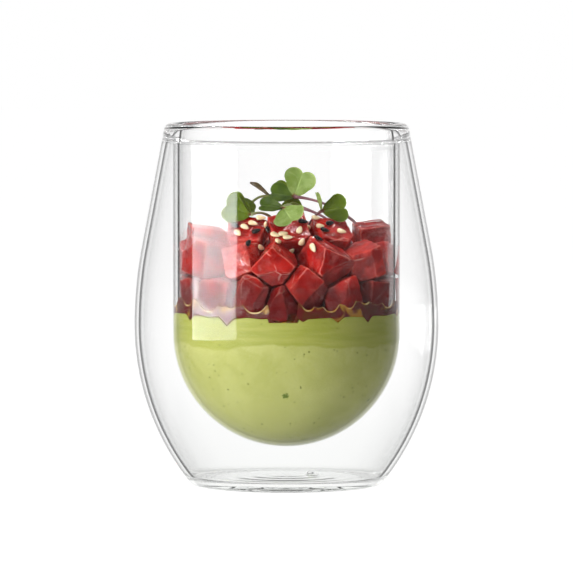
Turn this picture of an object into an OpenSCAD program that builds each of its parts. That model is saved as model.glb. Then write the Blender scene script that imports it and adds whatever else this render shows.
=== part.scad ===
// Double-wall glass tumbler holding a layered starter: avocado mousse, a soy and
// oil dressing, diced raw tuna, sesame seeds and radish sprouts.
// Millimetres, +Z up. The origin is the centre of the base, on the table.
// The front, where the greens lean, is -Y.

/* [Tumbler] */
// Overall height
glass_height = 105; // [99:0.5:111]
// Widest outside diameter
belly_d = 88.3; // [85:0.1:92]
// Height of the widest ring above the table
belly_z = 46.5; // [42:0.5:50]
// Radius of the side's curve below the widest ring
lower_curve = 73; // [68:1:80]
// Length of the straight side below the rim
straight_side = 35; // [30:0.5:38]
// Thickness of the outer wall
outer_wall = 1.25; // [0.9:0.05:1.5]
// Width of the rounded rim, measured across both walls
rim_width = 4.05; // [3.8:0.05:4.6]
// Height of solid glass at the rim, above the space between the walls
rim_solid = 4.4; // [3:0.1:6]

/* [Inner cup] */
// Outside diameter of the inner cup
cup_d = 65.8; // [63:0.1:68]
// Thickness of the inner cup's wall
cup_wall = 1.4; // [1.1:0.05:1.6]
// Height of the inner cup's round bottom above the table
cup_lift = 11.3; // [9:0.1:14]

/* [Base] */
// Thickness of the base
base_wall = 2.2; // [1.6:0.1:3]
// Radius of the outer edge that the tumbler stands on
foot_round = 2; // [1:0.1:3]
// Radius between the floor and the side, inside the sealed space
floor_round = 4; // [2:0.1:6]
// Diameter of the shallow hollow under the base
hollow_d = 44; // [36:1:46]
// Depth of that hollow at its centre
hollow_depth = 1; // [0.5:0.1:1.5]
// Diameter of the sealed vent bead on the floor
vent_d = 2.4; // [1.6:0.1:3]
// Distance of the vent bead from the centre line
vent_offset = 6.7; // [4:0.1:10]

/* [Mousse and dressing] */
// Height of the mousse at the wall above the round part of the bowl
mousse_rise = 5.4; // [4:0.1:8]
// Rise of the mousse's top at the centre
mousse_crown = 0.8; // [0.4:0.1:1.2]
// Depth of the dressing at the wall
dressing_depth = 1.6; // [1.2:0.1:2.5]
// Clearance between the food and the glass
food_gap = 0.05; // [0.02:0.01:0.15]

/* [Diced tuna] */
// Edge of a middling die
die_edge = 10.2; // [9.6:0.1:10.8]
// Knife gap left between two dice
die_gap = 0.25; // [0.1:0.05:0.4]
// Clearance between the lowest dice and the dressing
bed_gap = 0.1; // [0.05:0.05:0.3]

/* [Sesame seeds] */
// Length of a seed
seed_l = 2.8; // [2.4:0.1:3.2]
// Width of a seed
seed_w = 1.7; // [1.4:0.1:2]
// Thickness of a seed
seed_t = 0.9; // [0.7:0.05:1.1]
// Clearance between a seed and the dice under it
seed_gap = 0.12; // [0.05:0.01:0.3]

/* [Sprouts] */
// Thickness of a stem
stem_d = 0.9; // [0.7:0.05:1.1]
// Thickness of a seed leaf
leaf_t = 0.45; // [0.35:0.05:0.6]
// Radius that a seed leaf's sides are bent to
leaf_cup = 9; // [8:0.5:14]
// Length of a middling seed leaf
leaf_l = 7.6; // [7:0.1:8.2]

/* [Hidden] */
$fn = 96;
// Sides of the very large circles behind the shallow domes
shallow_fn = 720;
glass_colour = [0.86, 0.90, 0.90, 0.35];
mousse_colour = [0.76, 0.79, 0.42];
dressing_colour = [0.55, 0.27, 0.04];
tuna_colours = [[0.76, 0.25, 0.25], [0.62, 0.13, 0.14], [0.82, 0.34, 0.32]];
white_seed_colour = [0.93, 0.84, 0.66];
black_seed_colour = [0.10, 0.08, 0.08];
leaf_colour = [0.42, 0.58, 0.24];
stem_colour = [0.52, 0.25, 0.32];

// How far a round reaches past the face that it runs into, so that the two cut
// each other cleanly
blend = 0.005;
// How far the upper curve runs on inside the straight side above it
blend_run = 2.5;

// Outer wall: centres of its two curves and of the rim's round. The upper curve
// starts upright at the widest ring and runs into the straight side.
belly_r = belly_d / 2;
rim_r = rim_width / 2;
cup_r = cup_d / 2;
bore_r = cup_r - cup_wall;
rim_centre = [bore_r + rim_r - blend, glass_height - rim_r];
rim_in = belly_r - rim_centre.x;
rim_up = glass_height - rim_r - belly_z;
upper_curve = (
        rim_in * rim_in + rim_up * rim_up - rim_r * rim_r - straight_side * straight_side
    ) / (2 * (rim_in - rim_r));
lower_centre = [belly_r - lower_curve, belly_z];
upper_centre = [belly_r - upper_curve, belly_z];

// Centre of a round of radius r that stands on a level line and runs into the
// side's lower curve from inside
function corner_centre(curve, r, level) =
    let (
        dz = belly_z - level - r,
        from_curve = curve - r + blend
    )
    [lower_centre.x + sqrt(from_curve * from_curve - dz * dz), level + r];

// Direction square to the straight line that touches the upper curve and the rim
rim_line = rim_centre - upper_centre;
taper = atan2(rim_line.y, rim_line.x)
    - acos((upper_curve - rim_r) / norm(rim_line));
side_normal = [cos(taper), sin(taper)];

// Round where the two walls are fused below the rim, at the top of the sealed space
side_reach = upper_centre * side_normal + upper_curve - outer_wall;
seam_top = glass_height - rim_solid;
seam_r = (side_reach - side_normal.x * cup_r - side_normal.y * seam_top)
    / (1 + side_normal.x - side_normal.y);
seam_centre = [cup_r + seam_r - blend, seam_top - seam_r];

// Inner cup and food heights
bowl_z = cup_lift + cup_r;
mousse_top = bowl_z + mousse_rise;
bed_z = mousse_top + dressing_depth + bed_gap;
hollow_r = (hollow_d * hollow_d / 4 + hollow_depth * hollow_depth) / (2 * hollow_depth);

// Half section of the mousse's domed top, from the centre to the glass
mousse_r = bore_r - food_gap;
crown_steps = 8;
crown = [
    for (k = [0 : crown_steps])
        let (share = k / crown_steps)
        [share * mousse_r, mousse_top + mousse_crown * (1 - share * share)]
];

// Diced tuna. A die is [turn from the front in degrees, distance from the centre
// as a share of the cup's inside radius, height above the dressing, size, [tilt,
// tilt, turn]]; height and size are counted in die edges. Dice in view at the
// front are set one by one.
front_dice = [
    [-88, 0.85, 0.44, 0.96, [12, 8, 20]],
    [-63, 0.85, 0.46, 0.98, [-9, 6, 64]],
    [-41, 0.86, 0.45, 1.00, [7, -10, 38]],
    [-20, 0.85, 0.56, 0.96, [10, 18, 12]],
    [-2, 0.84, 0.32, 0.90, [-8, 22, 30]],
    [10, 0.85, 0.72, 1.00, [24, 30, 50]],
    [35, 0.85, 0.42, 0.98, [-6, -14, 8]],
    [58, 0.86, 0.46, 0.96, [11, 6, 52]],
    [81, 0.85, 0.47, 0.94, [5, -9, 15]],
    [-92, 0.84, 1.38, 0.94, [14, -10, 48]],
    [-55, 0.83, 1.46, 1.12, [9, 12, 24]],
    [-28, 0.80, 1.40, 0.92, [-16, 10, 58]],
    [-7, 0.81, 1.28, 1.02, [18, 42, 6]],
    [24, 0.80, 1.34, 1.14, [30, 12, 50]],
    [54, 0.82, 1.38, 1.00, [10, -16, 20]],
    [80, 0.84, 1.36, 0.92, [-9, 13, 62]]
];

// Rings of dice at the back and inside the heap, as
// [count, first turn, turn between dice, distance from the centre, height]
rings = [
    [7, 105, 25, 0.85, 0.46],
    [6, 112, 27, 0.83, 1.44],
    [6, 10, 60, 0.43, 0.47],
    [6, 42, 60, 0.44, 1.45],
    [1, 0, 0, 0.03, 0.48]
];
// Dice on top of the heap. Those in front slope to the front.
top_dice = [
    [-83, 0.76, 1.88, 0.98, [6, 8, 12]],
    [-40, 0.54, 1.95, 1.00, [38, 8, -14]],
    [2, 0.50, 2.00, 1.02, [42, -6, 10]],
    [43, 0.56, 1.92, 1.00, [36, 6, 28]],
    [101, 0.81, 1.88, 1.00, [8, -6, 12]],
    [160, 0.45, 1.98, 0.96, [6, 14, 40]],
    [-135, 0.51, 1.96, 0.96, [-12, 8, 25]]
];
// How far the dice of the rings wander in turn, distance and height, how large they
// are, and how far they tilt and turn about themselves
ring_wander = [4, 0.015, 0.05];
ring_size = 1.02;
ring_tilts = [14, 14, 45];
// Share by which a die's three edges differ from its size
unevenness = 0.09;

function ring_dice() = [
    for (k = [0 : len(rings) - 1], i = [0 : rings[k][0] - 1])
        let (
            ring = rings[k],
            r = rands(-1, 1, 6, 40 * k + i + 7)
        )
        [
            ring[1] + i * ring[2] + ring_wander[0] * r[0],
            ring[3] + ring_wander[1] * r[1],
            ring[4] + ring_wander[2] * r[2],
            ring_size,
            [for (t = [0 : 2]) ring_tilts[t] * r[3 + t]]
        ]
];

// Every die as [centre, edges, turns, size]
die_specs = concat(front_dice, ring_dice(), top_dice);
dice = [
    for (i = [0 : len(die_specs) - 1])
        let (
            d = die_specs[i],
            r = d[1] * bore_r,
            size = d[3] * die_edge,
            uneven = rands(-unevenness, unevenness, 3, 3 * i + 11)
        )
        [
            [r * sin(d[0]), -r * cos(d[0]), bed_z + d[2] * die_edge],
            [for (k = [0 : 2]) size * (1 + uneven[k])],
            d[4],
            size
        ]
];

function reverse(list) = [for (k = [len(list) - 1 : -1 : 0]) list[k]];
function two_digits(n) = n < 10 ? str("0", n) : str(n);
function die_name(i) = str("tuna_die_", two_digits(i + 1));

// Rows of the turn that rotate() makes with the angles v
function turn(v) =
    let (
        a = cos(v.x), b = sin(v.x),
        c = cos(v.y), d = sin(v.y),
        e = cos(v.z), f = sin(v.z)
    )
    [
        [e * c, e * d * b - f * a, e * d * a + f * b],
        [f * c, f * d * b + e * a, f * d * a - e * b],
        [-d, c * b, c * a]
    ];
function column(m, i) = [m[0][i], m[1][i], m[2][i]];
function unit(v) = v / norm(v);

// Farthest that a die reaches from its centre
function reach(d) = norm(d[1]) / 2;

// Knife cuts between die i and the dice near it, as [outward direction, distance
// from the origin]. Two dice share their distance by their sizes.
function cuts(i) = [
    for (j = [0 : len(dice) - 1])
        let (
            p = dice[i],
            q = dice[j],
            gap = norm(q[0] - p[0]),
            share = p[3] / (p[3] + q[3]),
            near = gap * share - die_gap / 2
        )
        if (i != j && near < reach(p))
            let (n = unit(q[0] - p[0]))
            [n, n * p[0] + near]
];

// Flat faces of a die before the cuts, in the same form
function faces(d) = [
    for (k = [0 : 2], s = [-1, 1])
        let (n = s * column(turn(d[2]), k))
        [n, n * d[0] + d[1][k] / 2]
];

// Where a line through the point p along the axis k, from its far end, first
// meets a die, as [place on the axis, face]. Beside the die that is nowhere.
nowhere = [-1000, [[0, 0, 1], 0]];
// A face leans less than this along the axis when it is edge-on to the line
edge_on = 0.001;
function crossing(wall, p, k) =
    (wall[1] - wall[0] * p + wall[0][k] * p[k]) / wall[0][k];
function face_over(walls, p, k, way) =
    let (
        ahead = [
            for (w = walls)
                if (way * w[0][k] > edge_on) [way * crossing(w, p, k), w]
        ],
        behind = [
            for (w = walls)
                if (way * w[0][k] < -edge_on) way * crossing(w, p, k)
        ],
        first = lowest(ahead)
    )
    first[0] > max(behind) ? first : nowhere;
function lowest(list) =
    let (least = min([for (t = list) t[0]]))
    [for (t = list) if (t[0] == least) t][0];
function highest(list) =
    let (most = max([for (t = list) t[0]]))
    [for (t = list) if (t[0] == most) t][0];

// Flat faces of every die in the heap
function heap() = [
    for (i = [0 : len(dice) - 1])
        concat(faces(dice[i]), cuts(i))
];
// The heap's top over the point [x, y], or the dressing between the dice, and the
// heap's front at the height z
function heap_top(heap, x, y) =
    highest(concat(
        [[bed_z, [[0, 0, 1], bed_z]]],
        [for (walls = heap) face_over(walls, [x, y, 0], 2, 1)]
    ));
function heap_front(heap, x, z) =
    highest([for (walls = heap) face_over(walls, [x, 0, z], 1, -1)]);

// Whether the point p lies deeper than depth inside a die
function inside(heap, p, depth) =
    len([
        for (walls = heap)
            if (max([for (w = walls) w[0] * p - w[1]]) < -depth) 1
    ]) > 0;

// Seeds as [x, height above the dressing, turn], seen from the front, where they
// lie in a loose cluster on the slope of the heap. x is a share of the cup's inside
// radius and the height is counted in die edges.
white_seeds = [
    [-0.30, 2.44, 70], [-0.23, 2.59, 85], [-0.17, 2.49, 120], [-0.37, 2.34, 50],
    [-0.10, 2.15, 62], [-0.03, 2.19, 98], [0.01, 2.09, 85], [-0.08, 1.99, 80],
    [-0.16, 1.94, 65], [-0.24, 1.80, 72], [0.12, 2.29, 165], [0.21, 2.35, 95],
    [0.14, 2.04, 172], [0.25, 1.83, 40], [0.36, 2.03, 70], [0.04, 1.75, 150],
    [0.30, 2.38, 88], [0.26, 2.60, 84], [0.49, 2.22, 66], [-0.43, 2.18, 30]
];
black_seeds = [
    [-0.27, 2.25, 120], [-0.15, 2.30, 60], [-0.17, 2.11, 140], [-0.35, 2.00, 115],
    [-0.27, 1.95, 88], [0.03, 1.90, 84], [0.15, 2.51, 75], [0.39, 2.45, 100],
    [0.34, 2.27, 62], [0.28, 2.06, 35], [-0.46, 2.38, 55], [-0.04, 2.45, 100]
];

// Sprouts as [name, foot x and y, joint x and y, joint height above the dressing,
// bow of the stem, leaves], and each leaf as [turn, lift, roll, size]. x and y are
// shares of the cup's inside radius, and the height is counted in die edges.
sprouts = [
    ["sprout_top", [0.63, -0.32], [0.07, -0.22], 3.20, 1.6,
        [[0, 70, 78, 1.08], [176, 10, -40, 0.95]]],
    ["sprout_front", [0.11, -0.32], [-0.03, -0.62], 2.95, 2.4,
        [[-67, -28, 36, 1.08], [178, 6, -30, 0.90]]],
    ["sprout_left", [-0.15, -0.23], [-0.32, -0.41], 2.72, 0.8,
        [[180, 21, -74, 1.08], [120, 48, 30, 0.90]]],
    ["sprout_right", [0.18, -0.20], [0.32, -0.38], 2.82, 0.8,
        [[4, 8, 72, 0.97], [180, 74, 8, 0.74]]],
    ["sprout_back", [-0.34, -0.16], [-0.14, -0.06], 3.18, 1.2,
        [[180, 34, 6, 0.98], [15, 22, 60, 0.80]]],
    ["sprout_small", [0.60, -0.10], [0.15, 0.02], 2.84, 1.6,
        [[165, 20, 60, 0.85], [200, -4, 40, 0.70]]]
];

// Room for a stem over the slopes of the heap, as a multiple of its own half width
slope_room = 1.35;
// Rise of a stem's bow at the share t of its way, taken a little low
function bow_rise(bow, t) = 3 * bow * t * (1 - t);
// Height of a stem's foot over the point a, at which its way to the joint clears
// the heap
function foot_height(heap, a, joint, bow) =
    let (clear = slope_room * (stem_d / 2 + seed_gap))
    max([
        for (t = [-0.08 : 0.08 : 0.88])
            let (p = a + t * ([joint.x, joint.y] - a))
            (heap_top(heap, p.x, p.y)[0] + clear - t * joint.z - bow_rise(bow, t))
                / (1 - t)
    ]);

// Half section of the outer wall's outside, or of its inside for an inset above 0
module side_section(inset, floor, corner_r, top_centre, top_r) {
    lower = lower_curve - inset;
    upper = upper_curve - inset;
    corner = corner_centre(lower, corner_r, floor);
    corner_touch = lower_centre + unit(corner - lower_centre) * lower;
    shoulder = upper_centre + side_normal * (upper - blend);
    top_touch = top_centre + side_normal * (top_r - blend);
    translate([0, floor])
        square([corner.x, corner_r]);
    intersection() {
        translate(corner)
            circle(r = corner_r);
        translate([0, floor])
            square([belly_r, corner_r]);
    }
    intersection() {
        translate(lower_centre)
            circle(r = lower);
        translate([0, corner_touch.y])
            square([belly_r, shoulder.y - corner_touch.y]);
    }
    intersection() {
        translate(upper_centre)
            circle(r = upper);
        translate([0, belly_z])
            square([belly_r, shoulder.y + blend_run - belly_z]);
    }
    polygon([
        [0, belly_z], [belly_r - inset - blend_run, belly_z], shoulder, [0, shoulder.y]
    ]);
    polygon([
        [0, shoulder.y], shoulder, top_touch, top_centre, [0, top_centre.y]
    ]);
    translate(top_centre)
        circle(r = top_r);
}

// Half section of everything inside the inner cup's face of radius r, up to top
module cup_section(r, top) {
    intersection() {
        translate([0, bowl_z])
            circle(r = r);
        translate([0, bowl_z - r])
            square([r, r]);
    }
    translate([0, bowl_z])
        square([r, top - bowl_z]);
}

// Half section of the shallow dome that the base and the floor follow
module base_dome(level) {
    intersection() {
        translate([0, level + hollow_depth - hollow_r])
            circle(r = hollow_r, $fn = shallow_fn);
        translate([0, level - 1])
            square([belly_r, hollow_depth + 2]);
    }
}

module glass_section() {
    difference() {
        side_section(0, 0, foot_round, rim_centre, rim_r);
        cup_section(bore_r, rim_centre.y + rim_r / 2);
        base_dome(0);
        difference() {
            side_section(outer_wall, base_wall, floor_round, seam_centre, seam_r);
            cup_section(cup_r, glass_height);
            base_dome(base_wall);
        }
    }
}

// One blown and fused piece, with the sealed space inside and the bead that
// closes its vent
module glass() {
    color(glass_colour)
        union() {
            rotate_extrude()
                glass_section();
            translate([vent_offset, 0, base_wall + hollow_depth])
                sphere(d = vent_d);
        }
}

module mousse() {
    color(mousse_colour)
        rotate_extrude() {
            cup_section(mousse_r, mousse_top);
            polygon(concat([[0, bowl_z]], [[mousse_r, bowl_z]], reverse(crown)));
        }
}

module dressing() {
    surface_z = mousse_top + dressing_depth;
    color(dressing_colour)
        rotate_extrude()
            polygon(concat(crown, [[mousse_r, surface_z], [0, surface_z]]));
}

// Everything beyond a cut, as a block that is large beside a die
module beyond(cut, size) {
    n = cut[0];
    rotate([0, acos(n.z), atan2(n.y, n.x)])
        translate([-size, -size, cut[1]])
            cube([2 * size, 2 * size, size]);
}

module tuna_die(i) {
    d = dice[i];
    color(tuna_colours[i % len(tuna_colours)])
        difference() {
            intersection() {
                translate(d[0])
                    rotate(d[2])
                        cube(d[1], center = true);
                translate([0, 0, bed_z])
                    cylinder(r = bore_r - food_gap, h = glass_height);
            }
            for (cut = cuts(i))
                translate(d[0])
                    beyond([cut[0], cut[1] - cut[0] * d[0]], 2 * die_edge);
        }
}

// One seed along +X, round at one end and pointed at the other, its middle at
// the origin and both faces bulged
module seed() {
    blunt = seed_w / 2;
    middle = blunt - seed_l / 2;
    flank = 0.97 * blunt;
    tip = 0.1 * seed_l;
    tip_half = 0.07 * seed_l;
    bulge = (seed_l * seed_l + seed_t * seed_t) / (4 * seed_t);
    intersection() {
        linear_extrude(seed_t, center = true) {
            translate([middle, 0])
                circle(r = blunt);
            polygon([
                [middle, -flank],
                [seed_l / 2 - tip, -tip_half],
                [seed_l / 2, 0],
                [seed_l / 2 - tip, tip_half],
                [middle, flank]
            ]);
        }
        translate([0, 0, seed_t / 2 - bulge])
            rotate([90, 0, 0])
                sphere(r = bulge);
        translate([0, 0, bulge - seed_t / 2])
            rotate([90, 0, 0])
                sphere(r = bulge);
    }
}

// Seeds laid flat on the heap's front slope. One that would cut into a die beside
// it, or that finds no die, is left out.
module seeds(list) {
    dice_walls = heap();
    for (s = list) {
        x = s[0] * bore_r;
        z = bed_z + s[1] * die_edge;
        front = heap_front(dice_walls, x, z);
        n = front[1][0];
        lay = turn([0, acos(n.z), atan2(n.y, n.x)]) * turn([0, 0, s[2]]);
        centre = [x, -front[0], z] + (seed_t / 2 + seed_gap) * n;
        rim = [
            for (a = [0 : 45 : 315])
                centre + lay * [seed_l / 2 * cos(a), seed_w / 2 * sin(a), 0]
        ];
        blocked = [for (p = rim) if (inside(dice_walls, p, -seed_gap)) 1];
        if (len(blocked) == 0 && front[0] > 0)
            translate(centre)
                rotate([0, acos(n.z), atan2(n.y, n.x)])
                    rotate([0, 0, s[2]])
                        seed();
    }
}

module white_sesame_seeds() {
    color(white_seed_colour)
        seeds(white_seeds);
}

module black_sesame_seeds() {
    color(black_seed_colour)
        seeds(black_seeds);
}

// Round bar bent to one arc from a to b, bowed by bow towards up
module bent_bar(a, b, bow, up, d) {
    chord = norm(b - a);
    x = unit(b - a);
    y = unit(up - (up * x) * x);
    z = cross(y, x);
    r = (chord * chord / 4 + bow * bow) / (2 * bow);
    sweep = 2 * asin(chord / (2 * r));
    centre = (a + b) / 2 - y * (r - bow);
    multmatrix([
        [y.x, x.x, z.x, centre.x],
        [y.y, x.y, z.y, centre.y],
        [y.z, x.z, z.z, centre.z],
        [0, 0, 0, 1]
    ])
        rotate([0, 0, -sweep / 2])
            rotate_extrude(angle = sweep)
                translate([r, 0])
                    circle(d = d, $fn = 48);
}

// Flat outline of a notched seed leaf, its base at the origin: two round lobes
// that cross at the notch and run straight down to the base
lobe_steps = 10;
module leaf_outline(l) {
    lobe = 0.33 * l;
    c = [l - lobe, 0.25 * l];
    first = -asin(c.y / lobe);
    last = 90 + atan2(c.y, c.x) + asin(lobe / norm(c));
    upper = [
        for (k = [0 : lobe_steps])
            let (a = first + (last - first) * k / lobe_steps)
            c + lobe * [cos(a), sin(a)]
    ];
    lower = [for (k = [lobe_steps : -1 : 1]) [upper[k].x, -upper[k].y]];
    polygon(concat([[0, 0]], lower, upper));
}

// Seed leaf along +X from the origin, its two sides bent up
module leaf(l) {
    difference() {
        intersection() {
            translate([0, 0, -leaf_t])
                linear_extrude(l)
                    leaf_outline(l);
            leaf_bend(leaf_cup + leaf_t / 2, l);
        }
        leaf_bend(leaf_cup - leaf_t / 2, l);
    }
}

module leaf_bend(r, l) {
    translate([0, 0, leaf_cup])
        rotate([90, 0, 90])
            cylinder(r = r, h = 3 * l, center = true);
}

// Joint of a sprout, and how far from its centre the leaves start
joint_d = 1.5 * stem_d;
joint_h = 1.3 * stem_d;
leaf_start = 0.4 * stem_d;
module sprout(i) {
    s = sprouts[i];
    stand = bore_r * s[1];
    joint = [bore_r * s[2].x, bore_r * s[2].y, bed_z + s[3] * die_edge];
    foot = [stand.x, stand.y, foot_height(heap(), stand, joint, s[4])];
    color(stem_colour) {
        bent_bar(foot, joint, s[4], [0, 0, 1], stem_d);
        translate(joint)
            cylinder(d = joint_d, h = joint_h, center = true, $fn = 8);
    }
    color(leaf_colour)
        for (blade = s[5])
            translate(joint)
                rotate([0, 0, blade[0]])
                    rotate([0, -blade[1], 0])
                        rotate([blade[2], 0, 0])
                            translate([leaf_start, 0, 0])
                                leaf(leaf_l * blade[3]);
}

glass();
mousse();
dressing();
for (i = [0 : len(dice) - 1])
    tuna_die(i);
white_sesame_seeds();
black_sesame_seeds();
for (i = [0 : len(sprouts) - 1])
    sprout(i);
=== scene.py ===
import math
import random

import bpy
import numpy as np
from mathutils import Matrix, Vector, noise


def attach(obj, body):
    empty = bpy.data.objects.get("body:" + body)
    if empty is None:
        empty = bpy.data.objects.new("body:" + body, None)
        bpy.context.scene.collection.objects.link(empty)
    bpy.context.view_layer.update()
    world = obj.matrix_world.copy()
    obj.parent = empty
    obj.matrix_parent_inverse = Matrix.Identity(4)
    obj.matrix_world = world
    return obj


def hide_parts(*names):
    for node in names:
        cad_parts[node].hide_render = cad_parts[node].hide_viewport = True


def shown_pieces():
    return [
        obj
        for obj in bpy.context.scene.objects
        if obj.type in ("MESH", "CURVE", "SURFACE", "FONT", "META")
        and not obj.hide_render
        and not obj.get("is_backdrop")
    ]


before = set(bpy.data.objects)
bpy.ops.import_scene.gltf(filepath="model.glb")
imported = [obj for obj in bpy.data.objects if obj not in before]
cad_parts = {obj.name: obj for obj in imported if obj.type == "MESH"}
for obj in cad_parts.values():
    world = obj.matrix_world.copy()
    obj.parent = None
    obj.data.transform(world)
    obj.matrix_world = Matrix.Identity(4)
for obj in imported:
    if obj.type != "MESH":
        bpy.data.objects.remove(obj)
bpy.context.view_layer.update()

MM = 0.001
BODY = "root"

# ---- sizes, in mm
HEIGHT = 105.0
BELLY_R = 88.3 / 2
BELLY_Z = 46.5
LOWER_CURVE = 73.0
STRAIGHT_SIDE = 35.0
OUTER_WALL = 1.25
RIM_R = 4.05 / 2
RIM_SOLID = 4.4
CUP_R = 65.8 / 2
CUP_WALL = 1.4
CUP_LIFT = 11.3
BASE_WALL = 2.2
FOOT_ROUND = 2.0
FLOOR_ROUND = 4.0
HOLLOW_R = 22.0
HOLLOW_DEPTH = 1.0
BORE_R = CUP_R - CUP_WALL
RIM_IN = BELLY_R - BORE_R - RIM_R
RIM_UP = HEIGHT - RIM_R - BELLY_Z
UPPER_CURVE = (RIM_IN**2 + RIM_UP**2 - RIM_R**2 - STRAIGHT_SIDE**2) / (
    2 * (RIM_IN - RIM_R)
)
BOWL_Z = CUP_LIFT + CUP_R
MOUSSE_TOP = BOWL_Z + 5.4
MOUSSE_DOME = 0.8
BED_Z = MOUSSE_TOP + 1.7
DIE_EDGE = 10.2
# Food that wets the glass reaches a hair into it, so that no air shows between
WET = 0.04
# Points around each turned form
GLASS_SIDES = 192
MOUSSE_SIDES = 480
DRESSING_SIDES = 600


# ---- small helpers
def make_object(name, mesh, *materials):
    obj = bpy.data.objects.new(name, mesh)
    bpy.context.scene.collection.objects.link(obj)
    for material in materials:
        mesh.materials.append(material)
    mesh.shade_smooth()
    return obj


def mesh_from(name, points, faces):
    """A mesh from points in mm."""
    mesh = bpy.data.meshes.new(name)
    mesh.from_pydata([tuple(c * MM for c in p) for p in points], [], faces)
    mesh.update()
    return mesh


def map_points(mesh, values):
    """Give each point its own pair of numbers, as a map of the mesh."""
    layer = mesh.uv_layers.new(name="place")
    corners = np.empty(len(mesh.loops), dtype=np.int32)
    mesh.loops.foreach_get("vertex_index", corners)
    layer.data.foreach_set("uv", np.array(values, dtype=np.float32)[corners].ravel())


def read_points(mesh, what):
    """The X, Y and Z of each point's "co" or "normal"."""
    flat = np.empty(3 * len(mesh.vertices))
    mesh.vertices.foreach_get(what, flat)
    return flat.reshape(-1, 3)


def settle(obj, slot, *nodes):
    """The piece rides on the body and stands for its nodes. slot is not used."""
    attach(obj, BODY)
    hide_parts(*nodes)


def arc(centre, r, start, end, steps):
    """Points of a section's arc; angles in degrees from the outward direction."""
    return [
        (
            centre[0] + r * math.cos(math.radians(start + (end - start) * k / steps)),
            centre[1] + r * math.sin(math.radians(start + (end - start) * k / steps)),
        )
        for k in range(steps + 1)
    ]


def line(a, b, steps):
    return [
        (a[0] + (b[0] - a[0]) * k / steps, a[1] + (b[1] - a[1]) * k / steps)
        for k in range(1, steps)
    ]


def capped_faces(rings, sides):
    """Faces of a closed form: its first point, rings of points, and its last."""
    faces = []
    for j in range(sides):
        k = (j + 1) % sides
        faces.append((0, 1 + k, 1 + j))
        for i in range(rings - 1):
            a = 1 + i * sides
            b = a + sides
            faces.append((a + j, a + k, b + k, b + j))
        a = 1 + (rings - 1) * sides
        faces.append((a + j, a + k, a + sides))
    return faces


def shifted(faces, start):
    """The faces of a part whose points come after start others."""
    return [tuple(i + start for i in face) for face in faces]


def revolve(loop, segments, move=None):
    """Points and faces of a section turned about Z. Both ends are on the axis.
    Seen along the loop, the outside is on its right."""
    points = [(0.0, 0.0, loop[0][1])]
    for r, z in loop[1:-1]:
        for j in range(segments):
            turn = 2 * math.pi * j / segments
            points.append((r * math.cos(turn), r * math.sin(turn), z))
    points.append((0.0, 0.0, loop[-1][1]))
    if move is not None:
        points = [move(p) for p in points]
    return points, capped_faces(len(loop) - 2, segments)


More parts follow.
